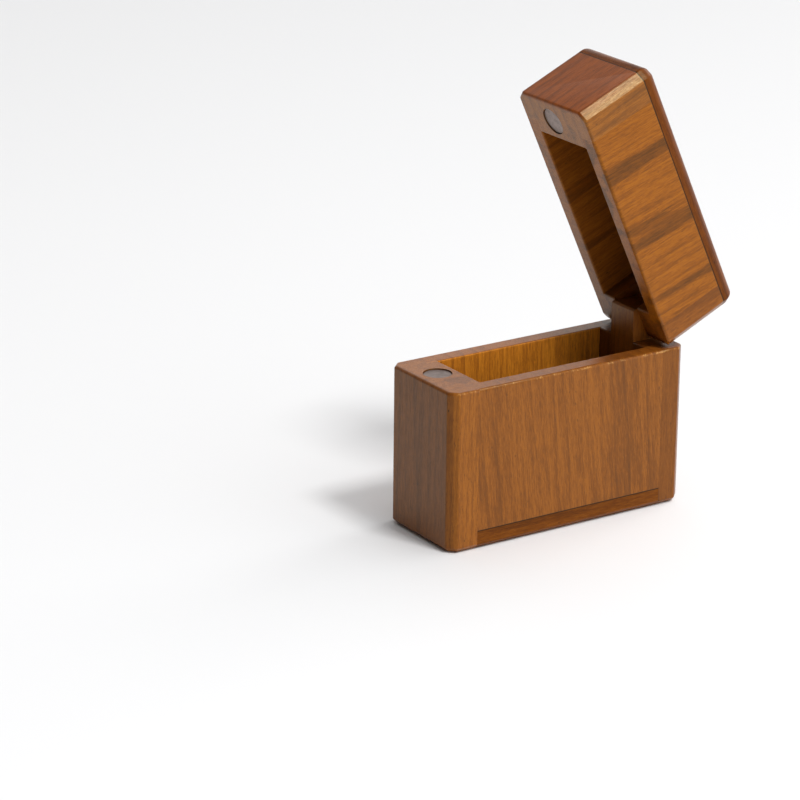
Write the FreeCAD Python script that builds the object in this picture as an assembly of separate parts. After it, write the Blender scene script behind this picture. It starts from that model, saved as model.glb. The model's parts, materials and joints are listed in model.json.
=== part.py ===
import FreeCAD, Part
import os

# A slim wooden ring box whose lid turns on a cross pin at one end.
# Millimetres, +Z up. The origin is the centre of the base's underside, +X runs from the
# magnet end to the hinge end. The lid is built shut and then turned open about its pin.

# Outside of the shut box
LENGTH = 46.0
WIDTH = 18.0
BASE_HEIGHT = 27.0
LID_HEIGHT = 14.8
CORNER_CHAMFER = 1.4
TOP_RADIUS = 1.9
UNDERSIDE_CHAMFER = 0.8
SOFTENING_RADIUS = 0.5
RIM_RADIUS = 0.45
MOUTH_RADIUS = 0.3

# Walls and end blocks
WALL = 3.0
BOTTOM_THICKNESS = 3.1
TOP_THICKNESS = 2.5
MAGNET_BLOCK_LENGTH = 7.3
HINGE_BLOCK_LENGTH = 6.4
MAGNET_SHOULDER = 5.2
HINGE_SHOULDER = 4.7

# Hinge: a tongue on the base stands in a slot of the lid, with a pin through both
PIN_RADIUS = 0.75
PIN_CLEARANCE = 0.04
PIN_INSET = 1.65
PIN_ABOVE_RIM = 2.45
PIN_BLIND_WALL = 2.0
PLUG_LENGTH = 1.4
TONGUE_WIDTH = 6.0
TONGUE_ABOVE_RIM = 5.5
TONGUE_DEPTH = 15.0
TONGUE_TOP_RADIUS = 1.2
TONGUE_FRONT_CHAMFER = 0.3
SLOT_SIDE_CLEARANCE = 0.08
SLOT_ABOVE_RIM = 6.0
OPEN_ANGLE = 65.5

# Closing magnets, glued into round pockets that lie off the centre plane, towards the back
MAGNET_INSET = 3.95
MAGNET_OFFSET = 1.05
MAGNET_RADIUS = 2.25
MAGNET_THICKNESS = 3.0
MAGNET_GLUE_GAP = 0.1
MAGNET_RECESS = 0.2

# Velvet insert: a foam floor and two foam cheeks with the ring slot between them
INSERT_RECESS = 5.5
SLOT_WIDTH = 5.0
SLOT_DEPTH = 5.5
INSERT_GAP = 0.1

# Places worked out from the sizes
X_MAGNET_END = -LENGTH / 2
X_HINGE_END = LENGTH / 2
X_CAVITY_LOW = X_MAGNET_END + MAGNET_BLOCK_LENGTH
X_CAVITY_HIGH = X_HINGE_END - HINGE_BLOCK_LENGTH
X_PANEL_LOW = X_MAGNET_END + MAGNET_SHOULDER
X_PANEL_HIGH = X_HINGE_END - HINGE_SHOULDER
Y_OUTSIDE = WIDTH / 2
Y_CAVITY = Y_OUTSIDE - WALL
Z_RIM = BASE_HEIGHT
Z_LID_TOP = BASE_HEIGHT + LID_HEIGHT
Z_TOP_SEAM = Z_LID_TOP - TOP_THICKNESS
X_PIN = X_HINGE_END - PIN_INSET
Z_PIN = Z_RIM + PIN_ABOVE_RIM
X_MAGNET = X_MAGNET_END + MAGNET_INSET
Y_PIN_LOW = -Y_OUTSIDE + PIN_BLIND_WALL
Y_PLUG_LOW = Y_OUTSIDE - PLUG_LENGTH
Z_INSERT_TOP = Z_RIM - INSERT_RECESS
Z_SLOT_FLOOR = Z_INSERT_TOP - SLOT_DEPTH
MARGIN = 1.0
TOLERANCE = 1e-4
SHARP_ANGLE = 0.05


def block(x_span, y_span, z_span):
    """A box between two corners, each axis given as (low, high)."""
    corner = FreeCAD.Vector(x_span[0], y_span[0], z_span[0])
    sizes = [span[1] - span[0] for span in (x_span, y_span, z_span)]
    return Part.makeBox(*sizes, corner)


def rod(radius, y_span, x, z):
    """A cylinder that runs along Y."""
    start = FreeCAD.Vector(x, y_span[0], z)
    return Part.makeCylinder(radius, y_span[1] - y_span[0], start, FreeCAD.Vector(0, 1, 0))


def disc(radius, z_span):
    """A cylinder that stands along Z on the magnets' axis."""
    start = FreeCAD.Vector(X_MAGNET, MAGNET_OFFSET, z_span[0])
    return Part.makeCylinder(radius, z_span[1] - z_span[0], start)


def edges_at_height(shape, z):
    """The edges that lie wholly in the level plane at z."""
    return [
        edge
        for edge in shape.Edges
        if abs(edge.BoundBox.ZMin - z) < TOLERANCE and abs(edge.BoundBox.ZMax - z) < TOLERANCE
    ]


def upright_edges(shape):
    """The straight edges that run along Z."""
    return [
        edge
        for edge in shape.Edges
        if edge.BoundBox.XLength < TOLERANCE and edge.BoundBox.YLength < TOLERANCE
    ]


def sharp_edges(shape):
    """The edges where two faces meet at an angle."""
    found = []
    for edge in shape.Edges:
        faces = shape.ancestorsOfType(edge, Part.Face)
        if edge.Degenerated or len(faces) != 2:
            continue
        span = edge.LastParameter - edge.FirstParameter
        place = edge.valueAt(edge.FirstParameter + 0.15 * span)
        normals = [face.normalAt(*face.Surface.parameter(place)) for face in faces]
        if normals[0].getAngle(normals[1]) > SHARP_ANGLE:
            found.append(edge)
    return found


def chamfered_block(z_span):
    """The full length and width of the box, with the four upright corners chamfered."""
    body = block((X_MAGNET_END, X_HINGE_END), (-Y_OUTSIDE, Y_OUTSIDE), z_span)
    return body.makeChamfer(CORNER_CHAMFER, upright_edges(body))


def softened(body):
    """The body with its sharp edges softened all over, and its rim's outer edge rounded."""
    rim = edges_at_height(body, Z_RIM)
    rest = [edge for edge in sharp_edges(body) if not any(edge.isSame(other) for other in rim)]
    body = body.makeFillet(SOFTENING_RADIUS, rest)
    return body.makeFillet(RIM_RADIUS, edges_at_height(body, Z_RIM))


def hollowed(body, z_span):
    """The body with its cavity cut and the mouth's edge rounded."""
    cavity = block((X_CAVITY_LOW, X_CAVITY_HIGH), (-Y_CAVITY, Y_CAVITY), z_span)
    shell = body.cut(cavity)
    mouth = [
        edge
        for edge in edges_at_height(shell, Z_RIM)
        if edge.BoundBox.XMin > X_CAVITY_LOW - TOLERANCE
        and edge.BoundBox.XMax < X_CAVITY_HIGH + TOLERANCE
        and edge.BoundBox.YMin > -Y_CAVITY - TOLERANCE
        and edge.BoundBox.YMax < Y_CAVITY + TOLERANCE
    ]
    return shell.makeFillet(MOUTH_RADIUS, mouth)


def base_shell():
    """The base as one hollow body, before it is divided into its pieces."""
    body = chamfered_block((0.0, Z_RIM))
    body = body.makeChamfer(UNDERSIDE_CHAMFER, edges_at_height(body, 0.0))
    return hollowed(softened(body), (BOTTOM_THICKNESS, Z_RIM + MARGIN))


def heel_cutter():
    """What the lid loses at the hinge end, so that its rim turns clear of the base's rim."""
    corner = block(
        (X_PIN, X_HINGE_END + MARGIN), (-Y_OUTSIDE - MARGIN, Y_OUTSIDE + MARGIN), (Z_RIM - MARGIN, Z_PIN)
    )
    return corner.cut(rod(PIN_ABOVE_RIM, (-WIDTH, WIDTH), X_PIN, Z_PIN))


def lid_shell():
    """The shut lid as one hollow body, before it is divided into its pieces."""
    body = chamfered_block((Z_RIM, Z_LID_TOP))
    body = body.makeFillet(TOP_RADIUS, edges_at_height(body, Z_LID_TOP))
    return hollowed(softened(body), (Z_RIM - MARGIN, Z_TOP_SEAM)).cut(heel_cutter())


def stepped_region(x_end, x_shoulder, x_inner, z_span, z_floor):
    """An end block's room: full width to its shoulder, then cavity width to its inner face."""
    outer_span = sorted((x_end, x_shoulder))
    inner_span = sorted((x_shoulder, x_inner))
    z_inner = (max(z_span[0], z_floor), z_span[1])
    head = block(outer_span, (-Y_OUTSIDE, Y_OUTSIDE), z_span)
    stem = block(inner_span, (-Y_CAVITY, Y_CAVITY), z_inner)
    return head.fuse(stem).removeSplitter()


def panel_region(side, z_span):
    """A long side panel's room, with side -1 for the front and +1 for the back."""
    y_span = sorted((side * Y_CAVITY, side * Y_OUTSIDE))
    return block((X_PANEL_LOW, X_PANEL_HIGH), y_span, z_span)


def magnet_pocket(z_rim, into):
    """The round pocket from the rim into a magnet block, with into +1 for up."""
    depth = MAGNET_THICKNESS + MAGNET_RECESS
    z_span = sorted((z_rim - into * MARGIN, z_rim + into * depth))
    return disc(MAGNET_RADIUS + MAGNET_GLUE_GAP, z_span)


def magnet(z_rim, into):
    """A disc magnet at the bottom of its pocket."""
    near = z_rim + into * MAGNET_RECESS
    return disc(MAGNET_RADIUS, sorted((near, near + into * MAGNET_THICKNESS)))


def tongue_room(side_clearance, z_span):
    """The upright channel that the tongue stands in, through the hinge block."""
    half = TONGUE_WIDTH / 2 + side_clearance
    return block((X_CAVITY_HIGH, X_HINGE_END), (-half, half), z_span)


def hinge_tongue():
    """The tongue, with its top rounded towards the hinge end and bored for the pin."""
    z_top = Z_RIM + TONGUE_ABOVE_RIM
    tongue = tongue_room(0.0, (Z_RIM - TONGUE_DEPTH, z_top))
    rear = [edge for edge in edges_at_height(tongue, z_top) if edge.BoundBox.XMin > X_PIN]
    tongue = tongue.makeFillet(TONGUE_TOP_RADIUS, rear)
    front = [edge for edge in edges_at_height(tongue, z_top) if edge.BoundBox.XMax < X_PIN - PIN_INSET]
    tongue = tongue.makeChamfer(TONGUE_FRONT_CHAMFER, front)
    return tongue.cut(rod(PIN_RADIUS + PIN_CLEARANCE, (-WIDTH, WIDTH), X_PIN, Z_PIN))


def base_pieces():
    """The base's wooden pieces and its magnet."""
    shell = base_shell()
    full = (0.0, Z_RIM)
    above_floor = (BOTTOM_THICKNESS, Z_RIM)
    magnet_end = stepped_region(X_MAGNET_END, X_PANEL_LOW, X_CAVITY_LOW, full, BOTTOM_THICKNESS)
    hinge_end = stepped_region(X_HINGE_END, X_PANEL_HIGH, X_CAVITY_HIGH, full, BOTTOM_THICKNESS)
    mortise = tongue_room(0.0, (Z_RIM - TONGUE_DEPTH, Z_RIM + MARGIN))
    floor = block((X_PANEL_LOW, X_PANEL_HIGH), (-Y_OUTSIDE, Y_OUTSIDE), (0.0, BOTTOM_THICKNESS))
    return {
        "magnet_block": shell.common(magnet_end).cut(magnet_pocket(Z_RIM, -1)),
        "hinge_block": shell.common(hinge_end).cut(mortise),
        "front_panel": shell.common(panel_region(-1, above_floor)),
        "back_panel": shell.common(panel_region(1, above_floor)),
        "bottom_plate": shell.common(floor),
        "hinge_tongue": hinge_tongue(),
        "base_magnet": magnet(Z_RIM, -1),
    }


def insert_pieces():
    """The foam floor and the two foam cheeks of the velvet insert."""
    x_span = (X_CAVITY_LOW + INSERT_GAP, X_CAVITY_HIGH - INSERT_GAP)
    y_wall = Y_CAVITY - INSERT_GAP
    y_slot = SLOT_WIDTH / 2
    cheek_z = (Z_SLOT_FLOOR, Z_INSERT_TOP)
    return {
        "insert_floor_pad": block(x_span, (-y_wall, y_wall), (BOTTOM_THICKNESS, Z_SLOT_FLOOR)),
        "insert_front_pad": block(x_span, (-y_wall, -y_slot), cheek_z),
        "insert_back_pad": block(x_span, (y_slot, y_wall), cheek_z),
    }


def lid_pieces():
    """The shut lid's wooden pieces, its magnet, and the pin with the plug that hides it."""
    shell = lid_shell()
    under_top = (Z_RIM, Z_TOP_SEAM)
    free_end = stepped_region(X_MAGNET_END, X_PANEL_LOW, X_CAVITY_LOW, under_top, Z_RIM)
    hinge_end = stepped_region(X_HINGE_END, X_PANEL_HIGH, X_CAVITY_HIGH, under_top, Z_RIM)
    slot = tongue_room(SLOT_SIDE_CLEARANCE, (Z_RIM - MARGIN, Z_RIM + SLOT_ABOVE_RIM))
    pin_bore = rod(PIN_RADIUS, (Y_PIN_LOW, Y_OUTSIDE + MARGIN), X_PIN, Z_PIN)
    top = block((X_MAGNET_END, X_HINGE_END), (-Y_OUTSIDE, Y_OUTSIDE), (Z_TOP_SEAM, Z_LID_TOP))
    return {
        "lid_magnet_block": shell.common(free_end).cut(magnet_pocket(Z_RIM, 1)),
        "lid_hinge_block": shell.common(hinge_end).cut(slot).cut(pin_bore),
        "lid_front_panel": shell.common(panel_region(-1, under_top)),
        "lid_back_panel": shell.common(panel_region(1, under_top)),
        "lid_top_plate": shell.common(top),
        "lid_magnet": magnet(Z_RIM, 1),
        "hinge_pin": rod(PIN_RADIUS, (Y_PIN_LOW, Y_PLUG_LOW), X_PIN, Z_PIN),
        "pin_hole_plug": rod(PIN_RADIUS, (Y_PLUG_LOW, Y_OUTSIDE), X_PIN, Z_PIN).common(shell),
    }


def opened(shape):
    """The shape turned with the lid from shut to its rest angle."""
    turned = shape.copy()
    turned.rotate(FreeCAD.Vector(X_PIN, 0, Z_PIN), FreeCAD.Vector(0, 1, 0), OPEN_ANGLE)
    return turned


def single_solid(name, shape):
    """The one solid of a piece, checked."""
    solids = shape.Solids
    if len(solids) != 1 or not solids[0].isValid():
        raise ValueError(f"{name} has {len(solids)} solids, or is not valid")
    return solids[0]


def main():
    os.makedirs("parts", exist_ok=True)
    pieces = base_pieces() | insert_pieces()
    pieces |= {name: opened(shape) for name, shape in lid_pieces().items()}
    for name, shape in pieces.items():
        solid = single_solid(name, shape)
        solid.exportStep(f"parts/{name}.step")
        print(f"{name}: {solid.Volume:.1f} mm3")


main()
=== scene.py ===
import json
import math

import bmesh
import bpy
from mathutils import Matrix, Vector


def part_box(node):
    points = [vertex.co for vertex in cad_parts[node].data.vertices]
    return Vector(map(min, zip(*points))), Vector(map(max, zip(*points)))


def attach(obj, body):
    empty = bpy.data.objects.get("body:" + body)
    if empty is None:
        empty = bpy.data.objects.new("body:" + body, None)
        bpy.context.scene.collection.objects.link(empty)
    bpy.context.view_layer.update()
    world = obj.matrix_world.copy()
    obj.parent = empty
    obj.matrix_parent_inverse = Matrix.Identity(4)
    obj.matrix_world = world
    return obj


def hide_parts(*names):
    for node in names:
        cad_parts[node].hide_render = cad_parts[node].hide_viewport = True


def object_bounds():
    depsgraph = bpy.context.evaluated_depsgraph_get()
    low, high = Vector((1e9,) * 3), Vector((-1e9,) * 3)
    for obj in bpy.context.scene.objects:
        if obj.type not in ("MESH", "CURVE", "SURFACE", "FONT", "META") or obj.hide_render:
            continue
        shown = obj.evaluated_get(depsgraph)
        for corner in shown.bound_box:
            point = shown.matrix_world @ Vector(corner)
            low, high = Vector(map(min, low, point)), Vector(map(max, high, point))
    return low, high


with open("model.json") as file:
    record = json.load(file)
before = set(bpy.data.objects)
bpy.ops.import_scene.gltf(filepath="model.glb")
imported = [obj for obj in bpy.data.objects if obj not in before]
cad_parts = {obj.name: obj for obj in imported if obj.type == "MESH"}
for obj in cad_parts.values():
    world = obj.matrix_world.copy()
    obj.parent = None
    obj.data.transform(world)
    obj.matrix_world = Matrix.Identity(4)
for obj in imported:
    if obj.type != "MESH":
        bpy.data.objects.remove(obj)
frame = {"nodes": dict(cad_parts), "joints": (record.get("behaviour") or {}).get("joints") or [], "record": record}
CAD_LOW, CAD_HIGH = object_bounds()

# The ring box's looks: lacquered hardwood with a metal magnet at each free end and a padded
# velvet insert. Lengths in the wood shaders are millimetres, all other lengths are metres.

MM = 0.001

# The lid is modelled open. Its grain is laid out on the shut box, so it is turned back first.
HINGE = frame["joints"][0]
PIVOT = Vector(HINGE["pos_m"])
OPEN_ANGLE = math.radians(-HINGE["range_deg"][0])
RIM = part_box("front_panel")[1].z / MM
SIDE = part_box("back_panel")[1].y / MM
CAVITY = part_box("back_panel")[0].y / MM
END = CAD_LOW[0] / MM

# How far in from the magnet end the end tint reaches: partly the end grain's own colour, partly painted shade
END_DEPTH = 0.9

MAGNET_MIDDLE = (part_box("base_magnet")[0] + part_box("base_magnet")[1]) / 2 / MM
MAGNET_RADIUS = (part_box("base_magnet")[1].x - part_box("base_magnet")[0].x) / 2 / MM
POCKET_STAIN = 0.07

# Heights of the two plates' seams on the shut box, and how wide their glue lines look
BOTTOM_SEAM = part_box("bottom_plate")[1].z / MM
TOP_SEAM = 39.3
GLUE_LINE_CORE = 0.05
GLUE_LINE_EDGE = 0.14
GLUE_LINE_DARKNESS = 0.95

# Chips along the base's outer rim: how far down they reach and how thin they are
CHIP_HIGH = 0.02
CHIP_LOW = 0.42
CHIP_CORE = 0.05
CHIP_EDGE = 0.10

# Camera
LENS = 159.1
SENSOR = 36.0
AZIMUTH = math.radians(-33.6)
ELEVATION = math.radians(19.67)
ROLL = math.radians(0.6)
CAMERA_PLACE = Vector((-0.3172, -0.4370, 0.2118))

# Seams between neighbouring pieces
SEAM_WIDTH = 0.07 * MM
SEAM_ANGLE = math.radians(50)

# Lacquer
LACQUER_IOR = 1.5
LACQUER_ROUGHNESS = 0.33
LACQUER_SPECULAR = 0.38
LACQUER_TINT = (1.0, 0.86, 0.50, 1.0)

# Colours, linear
HONEY = (0.335, 0.108, 0.011)
AMBER = (0.225, 0.066, 0.007)
UMBER = (0.095, 0.029, 0.007)
PORE = (0.020, 0.009, 0.005)
CHIP = (0.50, 0.25, 0.07)
GLUE = (0.022, 0.009, 0.004)
NICKEL = (0.29, 0.225, 0.20)
NICKEL_CLOUD = (0.22, 0.17, 0.15)
NICKEL_SPECK = (0.05, 0.035, 0.03)
STEEL = (0.55, 0.55, 0.56)
CHARCOAL = (0.020, 0.021, 0.024)
CHARCOAL_LIT = (0.055, 0.058, 0.066)
SHEEN_TINT = (0.75, 0.78, 0.85, 1.0)

# Velvet pads: swollen by Cloth at ten times their size, then scaled back
VELVET_ROUNDING = 0.75 * MM
SIM_SCALE = 10.0
SIM_VOXEL = 0.005
SIM_FRAMES = 20
SIM_PRESSURE = 4.0
SIM_CAP = 0.0022
SIM_INSET = 0.25 * MM

# Studio
FLOOR_SIZE = 6.0
FLOOR_COLOUR = (0.85, 0.85, 0.855)
SIDE_DIM = 0.05
SIDE_BRIGHT = 1.3
HIGH_BACK_DIM = 0.35
LIGHT_DISTANCE = 0.80
KEY_DIRECTION = (0.10, -0.520, 0.848)
KEY_SIZE = 0.16
KEY_POWER = 3.5
SIDE_BOX_DIRECTION = (0.842, 0.136, 0.521)
SIDE_BOX_SIZE = 0.30
SIDE_BOX_POWER = 0.8


# Node graph helper ---------------------------------------------------------------------------


class Graph:
    """The node tree of a new material or world, with short calls that return sockets."""

    def __init__(self, owner):
        self.owner = owner
        owner.use_nodes = True
        self.tree = owner.node_tree
        self.tree.nodes.clear()

    def node(self, kind, inputs=(), **settings):
        """A new node, with its settings and its inputs, each input a socket or a value."""
        made = self.tree.nodes.new("ShaderNode" + kind)
        for key, value in settings.items():
            setattr(made, key, value)
        for key, value in dict(inputs).items():
            self.put(made.inputs[key], value)
        return made

    def put(self, socket, value):
        if isinstance(value, bpy.types.NodeSocket):
            self.tree.links.new(value, socket)
        elif isinstance(value, tuple) and len(value) == 3 and socket.type == "RGBA":
            socket.default_value = (*value, 1.0)
        else:
            socket.default_value = value

    def math(self, operation, a, b=0.0, clamp=False):
        made = self.node("Math", {0: a, 1: b}, operation=operation, use_clamp=clamp)
        return made.outputs[0]

    def vector(self, operation, a, b=(0.0, 0.0, 0.0)):
        return self.node("VectorMath", {0: a, 1: b}, operation=operation).outputs[0]

    def scaled(self, a, factors):
        return self.vector("MULTIPLY", a, factors)

    def noise(self, at, scale=1.0, detail=2.0, rough=0.5, distort=0.0):
        made = self.node(
            "TexNoise",
            {"Vector": at, "Scale": scale, "Detail": detail, "Roughness": rough, "Distortion": distort},
        )
        return made.outputs["Fac"]

    def span(self, value, low, high, to_low=0.0, to_high=1.0, smooth=True):
        """value mapped from low..high to to_low..to_high, and held at both ends."""
        made = self.node(
            "MapRange",
            {"Value": value, "From Min": low, "From Max": high, "To Min": to_low, "To Max": to_high},
            interpolation_type="SMOOTHSTEP" if smooth else "LINEAR",
        )
        return made.outputs["Result"]

    def mix(self, factor, a, b, blend="MIX"):
        made = self.node("Mix", data_type="RGBA", blend_type=blend)
        self.put(made.inputs[0], factor)
        self.put(made.inputs[6], a)
        self.put(made.inputs[7], b)
        return made.outputs[2]

    def bump(self, height, distance, strength=1.0):
        return self.node(
            "Bump", {"Height": height, "Distance": distance, "Strength": strength}
        ).outputs["Normal"]

    def finish(self, surface, output="OutputMaterial"):
        self.node(output, {"Surface": surface})
        return self.owner


# Wood ----------------------------------------------------------------------------------------


class Wood:
    """How one piece of wood is cut and coloured. Places are millimetres on the shut box.

    grain and across are the axes along the grain and across the rings, pitch is the ring
    spacing, and lean is how far the grain drifts across per millimetre along. tint multiplies
    the wood's colours; as set per piece it holds partly painted shade and light. The end tint
    is its tint at the magnet end, partly painted shade, and the inner tint its tint inside the
    cavity, partly painted light. streaks, figure, pores, fibres and gloss are strengths, and
    seam is the height of a glue line.
    """

    def __init__(self, grain="z", seed=0, pitch=2.3, across="x", tint=(1.0, 1.0, 1.0),
                 end_tint_and_shade=None, inner_tint_and_light=None, lean=0.0, streaks=0.4, figure=0.5, pores=0.6, fibres=1.3,
                 gloss=1.0, seam=None):
        self.grain = grain
        self.seed = seed
        self.pitch = pitch
        self.across = across
        self.tint = tint
        self.end_tint_and_shade = end_tint_and_shade or tint
        self.inner_tint_and_light = inner_tint_and_light
        self.lean = lean
        self.streaks = streaks
        self.figure = figure
        self.pores = pores
        self.fibres = fibres
        self.gloss = gloss
        self.seam = seam


# Tints per piece: partly the wood's own tone, partly painted shade and light. The end tints add painted shade at
# the magnet ends, and the back panel's inner tint adds painted light inside the cavity.
WOODS = {
    "magnet_block": Wood(
        seed=3, across="y", pitch=2.2, tint=(0.95, 0.93, 0.9), end_tint_and_shade=(0.62, 0.56, 0.62),
        figure=0.4, pores=0.9,
    ),
    "hinge_block": Wood(seed=17, across="y", tint=(0.66, 0.60, 0.60), figure=0.5, pores=0.4),
    "front_panel": Wood(
        seed=29, tint=(0.86, 0.83, 0.88), lean=0.10, streaks=0.28, figure=0.4, pores=0.45, seam=BOTTOM_SEAM
    ),
    "back_panel": Wood(
        seed=41, tint=(1.0, 0.95, 0.9), inner_tint_and_light=(2.1, 2.3, 1.9), figure=0.5, pores=0.4,
        seam=BOTTOM_SEAM,
    ),
    "bottom_plate": Wood(
        grain="x", seed=53, across="z", tint=(0.60, 0.54, 0.46), figure=0.4, gloss=0.35, seam=BOTTOM_SEAM
    ),
    "hinge_tongue": Wood(seed=67, tint=(0.88, 0.84, 0.85), figure=0.5),
    "lid_magnet_block": Wood(
        seed=71, across="y", tint=(0.98, 0.98, 0.85), end_tint_and_shade=(0.86, 0.58, 0.34),
        figure=0.6, pores=0.6, gloss=1.35, seam=TOP_SEAM,
    ),
    "lid_hinge_block": Wood(seed=83, across="y", tint=(0.85, 0.78, 0.75), figure=0.5, seam=TOP_SEAM),
    "lid_front_panel": Wood(
        seed=97, tint=(1.03, 0.95, 0.36), lean=-0.08, streaks=0.75, figure=0.45, pores=0.4, seam=TOP_SEAM
    ),
    "lid_back_panel": Wood(seed=103, tint=(0.95, 0.90, 0.85), figure=0.5, seam=TOP_SEAM),
    "lid_top_plate": Wood(
        grain="x", seed=113, across="z", tint=(0.52, 0.41, 0.28), figure=0.6, gloss=0.45, seam=TOP_SEAM
    ),
    "pin_hole_plug": Wood(grain="y", seed=127, tint=(0.80, 0.72, 0.70), figure=0.4),
}

LID_NODES = set(frame["record"]["behaviour"]["bodies"]["lid"])


def shut_place(graph, node):
    """Where a point of the node is on the shut box, in millimetres."""
    place = graph.node("TexCoord").outputs["Object"]
    if node in LID_NODES:
        place = graph.node(
            "VectorRotate",
            {"Vector": place, "Center": tuple(PIVOT), "Angle": -OPEN_ANGLE},
            rotation_type="Y_AXIS",
        ).outputs[0]
    return graph.scaled(place, (1 / MM, 1 / MM, 1 / MM))


def grain_place(graph, place, wood):
    """The place as (across the rings, along the rings, along the grain), moved by the seed."""
    parts = graph.node("SeparateXYZ", {0: place}).outputs
    third = {"x": 0, "y": 1, "z": 2}[wood.grain]
    first = {"x": 0, "y": 1, "z": 2}[wood.across]
    second = 3 - third - first
    across = graph.math("ADD", parts[first], graph.math("MULTIPLY", parts[third], wood.lean))
    joined = graph.node("CombineXYZ", {0: across, 1: parts[second], 2: parts[third]}).outputs[0]
    return graph.vector("ADD", joined, (wood.seed * 1.37, wood.seed * 2.11, wood.seed * 0.73))


def ring_darkness(graph, at, wood):
    """Growth rings: each ring darkens slowly and ends sharply, and none is quite straight."""
    wander = graph.noise(graph.scaled(at, (0.07, 0.07, 0.022)), detail=2.0)
    sway = graph.noise(graph.scaled(at, (0.4, 0.4, 0.05)), detail=1.0)
    across = graph.node("SeparateXYZ", {0: at}).outputs[0]
    phase = graph.math("ADD", graph.math("DIVIDE", across, wood.pitch), graph.math("MULTIPLY", wander, 1.9))
    phase = graph.math("ADD", phase, graph.math("MULTIPLY", sway, 0.18))
    part = graph.math("FRACT", phase)
    rise = graph.math("POWER", part, 2.6)
    fall = graph.span(part, 0.90, 1.0, 1.0, 0.0)
    uneven = graph.span(graph.noise(graph.scaled(at, (0.22, 0.22, 0.03))), 0.35, 0.65, 0.25, 1.0)
    return graph.math("MULTIPLY", graph.math("MULTIPLY", rise, fall), uneven)


def streak_darkness(graph, at):
    """Broad dark streaks with ragged sides, that fade in and out along the grain."""
    broad = graph.noise(graph.scaled(at, (0.30, 0.30, 0.012)), detail=1.0)
    ragged = graph.noise(graph.scaled(at, (1.5, 1.5, 0.10)), detail=3.0, rough=0.6)
    level = graph.math("ADD", broad, graph.math("MULTIPLY", graph.math("SUBTRACT", ragged, 0.5), 0.3))
    return graph.span(level, 0.54, 0.66)


def pore_mask(graph, at, wood):
    """Pores: fine dashes that run with the grain, a few bold ones, and dots on end grain."""
    fine = pore_layer(graph, at, (3.4, 3.4, 0.9), 0.26, 0.50)
    bold = pore_layer(graph, at, (0.95, 0.95, 0.42), 0.13, 0.52)
    both = graph.math("MAXIMUM", graph.math("MULTIPLY", fine, 0.5), bold)
    return graph.math("MULTIPLY", both, wood.pores, clamp=True)


def pore_layer(graph, at, cells, radius, spread):
    """One size of pores: a dash in some of the cells, as long as the cells are drawn out."""
    spots = graph.node(
        "TexVoronoi", {"Vector": graph.scaled(at, cells), "Scale": 1.0, "Randomness": 1.0}, feature="F1"
    )
    dash = graph.span(spots.outputs["Distance"], radius / 2, radius, 1.0, 0.0)
    some = graph.span(graph.noise(graph.scaled(at, (0.6, 0.6, 0.2))), spread, spread + 0.08)
    return graph.math("MULTIPLY", dash, some)


def fibre(graph, at):
    """Fine fibres that run with the grain, broad streaks, and short flecks that catch light."""
    fine = graph.noise(graph.scaled(at, (7.0, 7.0, 0.70)), detail=3.0, rough=0.7)
    coarse = graph.noise(graph.scaled(at, (2.1, 2.1, 0.12)), detail=3.0, rough=0.65)
    flecks = graph.span(graph.noise(graph.scaled(at, (4.5, 4.5, 1.3)), detail=2.0), 0.60, 0.72)
    return fine, coarse, flecks


def rim_wear(graph, place):
    """Worn stretches where the lacquer has chipped along the rim's outer edge."""
    parts = graph.node("SeparateXYZ", {0: place}).outputs
    depth = graph.math("SUBTRACT", RIM, parts[2])
    ragged = graph.noise(graph.scaled(place, (4.0, 2.0, 5.0)), detail=4.0, rough=0.75)
    line = graph.span(ragged, 0.3, 0.7, CHIP_HIGH, CHIP_LOW)
    off = graph.math("ABSOLUTE", graph.math("SUBTRACT", depth, line))
    thin = graph.span(off, CHIP_CORE, CHIP_EDGE, 1.0, 0.0)
    near_side = graph.span(graph.math("ABSOLUTE", parts[1]), SIDE - 0.40, SIDE - 0.20)
    along = graph.noise(graph.scaled(place, (0.8, 0.3, 0.3)), detail=4.0, rough=0.75)
    stretches = graph.span(along, 0.53, 0.56)
    return graph.math("MULTIPLY", graph.math("MULTIPLY", thin, near_side), stretches)


def glue_ring(graph, place):
    """The dark wall of a magnet's pocket, stained by glue."""
    parts = graph.node("SeparateXYZ", {0: place}).outputs
    off_x = graph.math("SUBTRACT", parts[0], MAGNET_MIDDLE.x)
    off_y = graph.math("SUBTRACT", parts[1], MAGNET_MIDDLE.y)
    squares = graph.math("ADD", graph.math("MULTIPLY", off_x, off_x), graph.math("MULTIPLY", off_y, off_y))
    radius = graph.math("SQRT", squares)
    return graph.span(radius, MAGNET_RADIUS + POCKET_STAIN, MAGNET_RADIUS + 2 * POCKET_STAIN, 1.0, 0.0)


def seam_line(graph, place, seam):
    """The dark glue line where a side meets a plate at the height of the seam."""
    height = graph.node("SeparateXYZ", {0: place}).outputs[2]
    off = graph.math("ABSOLUTE", graph.math("SUBTRACT", height, seam))
    return graph.span(off, GLUE_LINE_CORE, GLUE_LINE_EDGE, GLUE_LINE_DARKNESS, 0.0)


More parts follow.
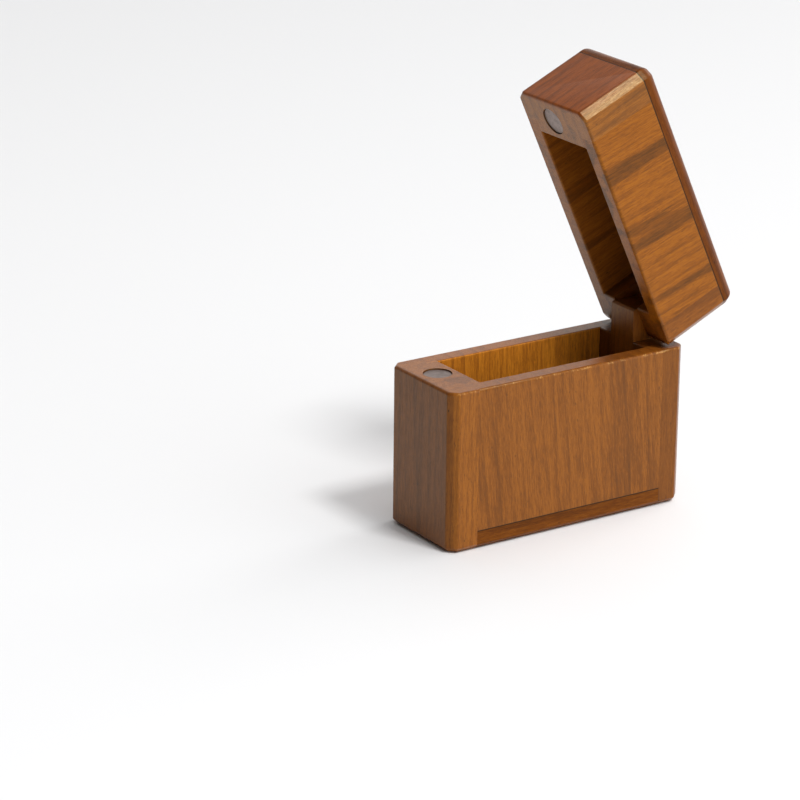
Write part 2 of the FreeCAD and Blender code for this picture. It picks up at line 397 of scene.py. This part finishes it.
def wood_colour(graph, node, wood, place, at):
    """The wood's colour, and its pores."""
    rings = graph.math("MULTIPLY", ring_darkness(graph, at, wood), wood.figure)
    fine, coarse, flecks = fibre(graph, at)
    shade = graph.math("ADD", rings, graph.math("MULTIPLY", graph.math("SUBTRACT", coarse, 0.5), wood.fibres))
    shade = graph.math("ADD", shade, graph.math("MULTIPLY", graph.math("SUBTRACT", fine, 0.5), 1.7))
    shade = graph.math("SUBTRACT", shade, graph.math("MULTIPLY", flecks, 0.22))
    streaks = streak_darkness(graph, at)
    shade = graph.math("ADD", shade, graph.math("MULTIPLY", streaks, wood.streaks))
    warm = graph.mix(graph.span(shade, -0.25, 0.25, smooth=False), HONEY, AMBER)
    colour = graph.mix(graph.span(shade, 0.20, 1.05, smooth=False), warm, UMBER)
    along = graph.node("SeparateXYZ", {0: place}).outputs[0]
    # The end tint at the magnet end: partly the end grain's own colour, partly painted shade
    end = graph.span(along, END + END_DEPTH, END + END_DEPTH / 2, 0.0, 1.0)
    tint = graph.mix(end, wood.tint, wood.end_tint_and_shade)
    # The inner tint brightens the inside of the back wall: painted light, partly the wood's own lighter colour
    if wood.inner_tint_and_light is not None:
        side = graph.math("ABSOLUTE", graph.node("SeparateXYZ", {0: place}).outputs[1])
        inner = graph.span(side, CAVITY + 0.05, CAVITY + 0.15, 1.0, 0.0)
        tint = graph.mix(inner, tint, wood.inner_tint_and_light)
    colour = graph.mix(1.0, colour, tint, blend="MULTIPLY")
    pores = pore_mask(graph, at, wood)
    colour = graph.mix(pores, colour, PORE)
    if node not in LID_NODES:
        colour = graph.mix(rim_wear(graph, place), colour, CHIP)
    if wood.seam is not None:
        colour = graph.mix(seam_line(graph, place, wood.seam), colour, GLUE)
    if "magnet_block" in node:
        colour = graph.mix(glue_ring(graph, place), colour, GLUE)
    return colour, pores, fine


def wood_material(node, wood):
    """Satin-lacquered hardwood for one piece."""
    graph = Graph(bpy.data.materials.new("wood_" + node))
    place = shut_place(graph, node)
    at = grain_place(graph, place, wood)
    colour, pores, fine = wood_colour(graph, node, wood, place, at)
    relief = graph.math("SUBTRACT", fine, graph.math("MULTIPLY", pores, 0.4))
    normal = graph.bump(relief, 0.02 * MM, 1.0)
    rough = graph.span(fine, 0.3, 0.7, LACQUER_ROUGHNESS - 0.05, LACQUER_ROUGHNESS + 0.08)
    shader = graph.node(
        "BsdfPrincipled",
        {
            "Base Color": colour,
            "Roughness": rough,
            "IOR": LACQUER_IOR,
            "Specular IOR Level": LACQUER_SPECULAR * wood.gloss,
            "Specular Tint": LACQUER_TINT,
            "Normal": normal,
        },
    )
    return graph.finish(shader.outputs[0])


# Metal ---------------------------------------------------------------------------------------


def magnet_material():
    """Dull nickel plate with faint scuffs and a few dark specks."""
    graph = Graph(bpy.data.materials.new("magnet_nickel"))
    place = graph.scaled(graph.node("TexCoord").outputs["Object"], (1 / MM, 1 / MM, 1 / MM))
    cloud = graph.noise(place, scale=0.9, detail=4.0, rough=0.6)
    scuff = graph.noise(graph.scaled(place, (0.8, 6.0, 3.0)), detail=3.0)
    speck = graph.span(graph.noise(place, scale=2.6, detail=2.0), 0.68, 0.74)
    colour = graph.mix(graph.span(cloud, 0.35, 0.7), NICKEL, NICKEL_CLOUD)
    colour = graph.mix(graph.math("MULTIPLY", speck, 0.6), colour, NICKEL_SPECK)
    shader = graph.node(
        "BsdfPrincipled",
        {
            "Base Color": colour,
            "Metallic": 0.85,
            "Roughness": graph.span(scuff, 0.3, 0.7, 0.38, 0.55),
            "Normal": graph.bump(scuff, 0.004 * MM, 0.5),
        },
    )
    return graph.finish(shader.outputs[0])


def pin_material():
    """Drawn steel wire."""
    graph = Graph(bpy.data.materials.new("pin_steel"))
    place = graph.scaled(graph.node("TexCoord").outputs["Object"], (1 / MM, 1 / MM, 1 / MM))
    drawn = graph.noise(graph.scaled(place, (9.0, 0.3, 9.0)), detail=2.0)
    shader = graph.node(
        "BsdfPrincipled",
        {
            "Base Color": STEEL,
            "Metallic": 1.0,
            "Roughness": graph.span(drawn, 0.3, 0.7, 0.22, 0.36),
            "Normal": graph.bump(drawn, 0.003 * MM, 0.4),
        },
    )
    return graph.finish(shader.outputs[0])


# Velvet insert -------------------------------------------------------------------------------


def velvet_material():
    """Charcoal velvet: a short pile that lies unevenly and shines at its edges."""
    graph = Graph(bpy.data.materials.new("insert_velvet"))
    place = graph.scaled(graph.node("TexCoord").outputs["Object"], (1 / MM, 1 / MM, 1 / MM))
    nap = graph.noise(place, scale=0.35, detail=3.0)
    pile = graph.noise(place, scale=11.0, detail=3.0, rough=0.75)
    lit = graph.span(graph.math("ADD", nap, graph.math("MULTIPLY", pile, 0.5)), 0.55, 0.95)
    colour = graph.mix(lit, CHARCOAL, CHARCOAL_LIT)
    shader = graph.node(
        "BsdfPrincipled",
        {
            "Base Color": colour,
            "Roughness": 0.95,
            "Sheen Weight": 0.55,
            "Sheen Roughness": 0.35,
            "Sheen Tint": SHEEN_TINT,
            "Specular IOR Level": 0.1,
            "Normal": graph.bump(pile, 0.09 * MM, 0.9),
        },
    )
    return graph.finish(shader.outputs[0])


def block_mesh(name, low, high):
    """A plain mesh block between two corners."""
    shape = bmesh.new()
    bmesh.ops.create_cube(shape, size=1.0)
    size = high - low
    middle = (low + high) / 2
    for vertex in shape.verts:
        vertex.co = Vector([vertex.co[k] * size[k] + middle[k] for k in range(3)])
    mesh = bpy.data.meshes.new(name)
    shape.to_mesh(mesh)
    shape.free()
    return mesh


def apply_modifiers(piece):
    """Applies all of the piece's modifiers to its mesh."""
    graph = bpy.context.evaluated_depsgraph_get()
    mesh = bpy.data.meshes.new_from_object(piece.evaluated_get(graph))
    piece.modifiers.clear()
    piece.data = mesh


def round_and_remesh(piece, rounding, voxel):
    """Rounds the block's edges and gives it an even mesh for the cloth."""
    bevel = piece.modifiers.new("round", "BEVEL")
    bevel.width = rounding
    bevel.segments = 4
    remesh = piece.modifiers.new("remesh", "REMESH")
    remesh.mode = "VOXEL"
    remesh.voxel_size = voxel
    apply_modifiers(piece)


def swell(piece):
    """Cloth under pressure, with each point's travel capped, for a filled look."""
    start = [vertex.co.copy() for vertex in piece.data.vertices]
    cloth = piece.modifiers.new("cloth", "CLOTH")
    cloth.settings.use_pressure = True
    cloth.settings.uniform_pressure_force = SIM_PRESSURE
    cloth.settings.effector_weights.gravity = 0.0
    cloth.settings.quality = 6
    scene = bpy.context.scene
    for number in range(1, SIM_FRAMES + 1):
        scene.frame_set(number)
    apply_modifiers(piece)
    for vertex, old in zip(piece.data.vertices, start):
        move = vertex.co - old
        if move.length > SIM_CAP:
            vertex.co = old + move.normalized() * SIM_CAP
    scene.frame_set(1)


def hold_inside(piece, low, high):
    """Every point held between two corners, as the walls of the cavity press on the pad."""
    for vertex in piece.data.vertices:
        vertex.co = Vector([min(max(vertex.co[k], low[k]), high[k]) for k in range(3)])


def make_pad(node, material):
    """A velvet-covered foam pad in the room of its CAD solid."""
    low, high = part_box(node)
    inset = Vector((SIM_INSET, SIM_INSET, SIM_INSET))
    mesh = block_mesh("velvet_" + node, (low + inset) * SIM_SCALE, (high - inset) * SIM_SCALE)
    piece = bpy.data.objects.new("velvet_" + node, mesh)
    bpy.context.scene.collection.objects.link(piece)
    round_and_remesh(piece, VELVET_ROUNDING * SIM_SCALE, SIM_VOXEL)
    swell(piece)
    piece.data.transform(Matrix.Scale(1 / SIM_SCALE, 4))
    hold_inside(piece, low, high)
    smooth = piece.modifiers.new("smooth", "SUBSURF")
    smooth.levels = 1
    smooth.render_levels = 1
    for face in piece.data.polygons:
        face.use_smooth = True
    piece.data.materials.clear()
    piece.data.materials.append(material)
    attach(piece, "base")
    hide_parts(node)
    return piece


def make_insert():
    material = velvet_material()
    make_pad("insert_floor_pad", material)
    make_pad("insert_front_pad", material)
    make_pad("insert_back_pad", material)


# CAD nodes -----------------------------------------------------------------------------------


def ease_edges(thing):
    """A hairline bevel on every sharp edge, so that each seam shows as a fine groove."""
    weld = thing.modifiers.new("weld", "WELD")
    weld.merge_threshold = 0.0005 * MM
    bevel = thing.modifiers.new("ease", "BEVEL")
    bevel.width = SEAM_WIDTH
    bevel.segments = 2
    bevel.limit_method = "ANGLE"
    bevel.angle_limit = SEAM_ANGLE
    bevel.harden_normals = True


def paint(node, material):
    thing = frame["nodes"][node]
    for place in range(len(thing.material_slots)):
        thing.material_slots[place].link = "OBJECT"
        thing.material_slots[place].material = material


def finish_cad_nodes():
    for node, wood in WOODS.items():
        paint(node, wood_material(node, wood))
        ease_edges(frame["nodes"][node])
    nickel = magnet_material()
    for node in ("base_magnet", "lid_magnet"):
        paint(node, nickel)
        ease_edges(frame["nodes"][node])
    paint("hinge_pin", pin_material())


# Studio --------------------------------------------------------------------------------------


def make_floor():
    bpy.ops.mesh.primitive_plane_add(size=FLOOR_SIZE, location=(0.0, 0.0, CAD_LOW[2]))
    floor = bpy.context.object
    floor.name = "studio_floor"
    graph = Graph(bpy.data.materials.new("studio_floor"))
    shader = graph.node("BsdfPrincipled", {"Base Color": FLOOR_COLOUR, "Roughness": 0.75})
    floor.data.materials.append(graph.finish(shader.outputs[0]))


def area_light(name, towards, size, power):
    """A square softbox in a direction from the box's middle, facing it."""
    aim = Vector(((CAD_LOW[0] + CAD_HIGH[0]) / 2, 0.0, CAD_HIGH[2] / 2))
    direction = Vector(towards).normalized()
    data = bpy.data.lights.new(name, "AREA")
    data.shape = "SQUARE"
    data.size = size
    data.energy = power
    light = bpy.data.objects.new(name, data)
    light.location = aim + direction * LIGHT_DISTANCE
    light.rotation_euler = direction.to_track_quat("Z", "Y").to_euler()
    bpy.context.scene.collection.objects.link(light)


def make_lights():
    area_light("key", KEY_DIRECTION, KEY_SIZE, KEY_POWER)
    area_light("side_box", SIDE_BOX_DIRECTION, SIDE_BOX_SIZE, SIDE_BOX_POWER)
    make_surroundings()


def make_surroundings():
    """A pale studio, dimmer towards -X and dimmer high up behind the box."""
    graph = Graph(bpy.data.worlds.new("studio"))
    parts = graph.node("SeparateXYZ", {0: graph.node("TexCoord").outputs["Generated"]}).outputs
    side = graph.span(parts[0], -0.75, 0.25, SIDE_DIM, SIDE_BRIGHT)
    high = graph.span(parts[2], 0.24, 0.52)
    back = graph.span(parts[1], 0.10, 0.55)
    dimming = graph.span(graph.math("MULTIPLY", high, back), 0.0, 1.0, 1.0, HIGH_BACK_DIM, smooth=False)
    strength = graph.math("MULTIPLY", side, dimming)
    sky = graph.node("Background", {"Color": (1.0, 1.0, 1.0), "Strength": strength})
    bpy.context.scene.world = graph.finish(sky.outputs[0], "OutputWorld")


def make_camera():
    """The camera, its axes turned from azimuth, elevation and a slight roll."""
    right = Vector((math.cos(AZIMUTH), math.sin(AZIMUTH), 0.0))
    forward = Vector((
        -math.sin(AZIMUTH) * math.cos(ELEVATION),
        math.cos(AZIMUTH) * math.cos(ELEVATION),
        -math.sin(ELEVATION),
    ))
    up = right.cross(forward)
    turned_right = right * math.cos(ROLL) + up * math.sin(ROLL)
    turned_up = up * math.cos(ROLL) - right * math.sin(ROLL)
    data = bpy.data.cameras.new("camera")
    data.lens = LENS
    data.sensor_width = SENSOR
    data.clip_start = 0.01
    camera = bpy.data.objects.new("camera", data)
    axes = Matrix((turned_right, turned_up, -forward)).transposed()
    camera.matrix_world = Matrix.Translation(CAMERA_PLACE) @ axes.to_4x4()
    bpy.context.scene.collection.objects.link(camera)
    bpy.context.scene.camera = camera


make_camera()
make_floor()
make_lights()
finish_cad_nodes()
make_insert()
bpy.context.scene.view_settings.view_transform = "Standard"
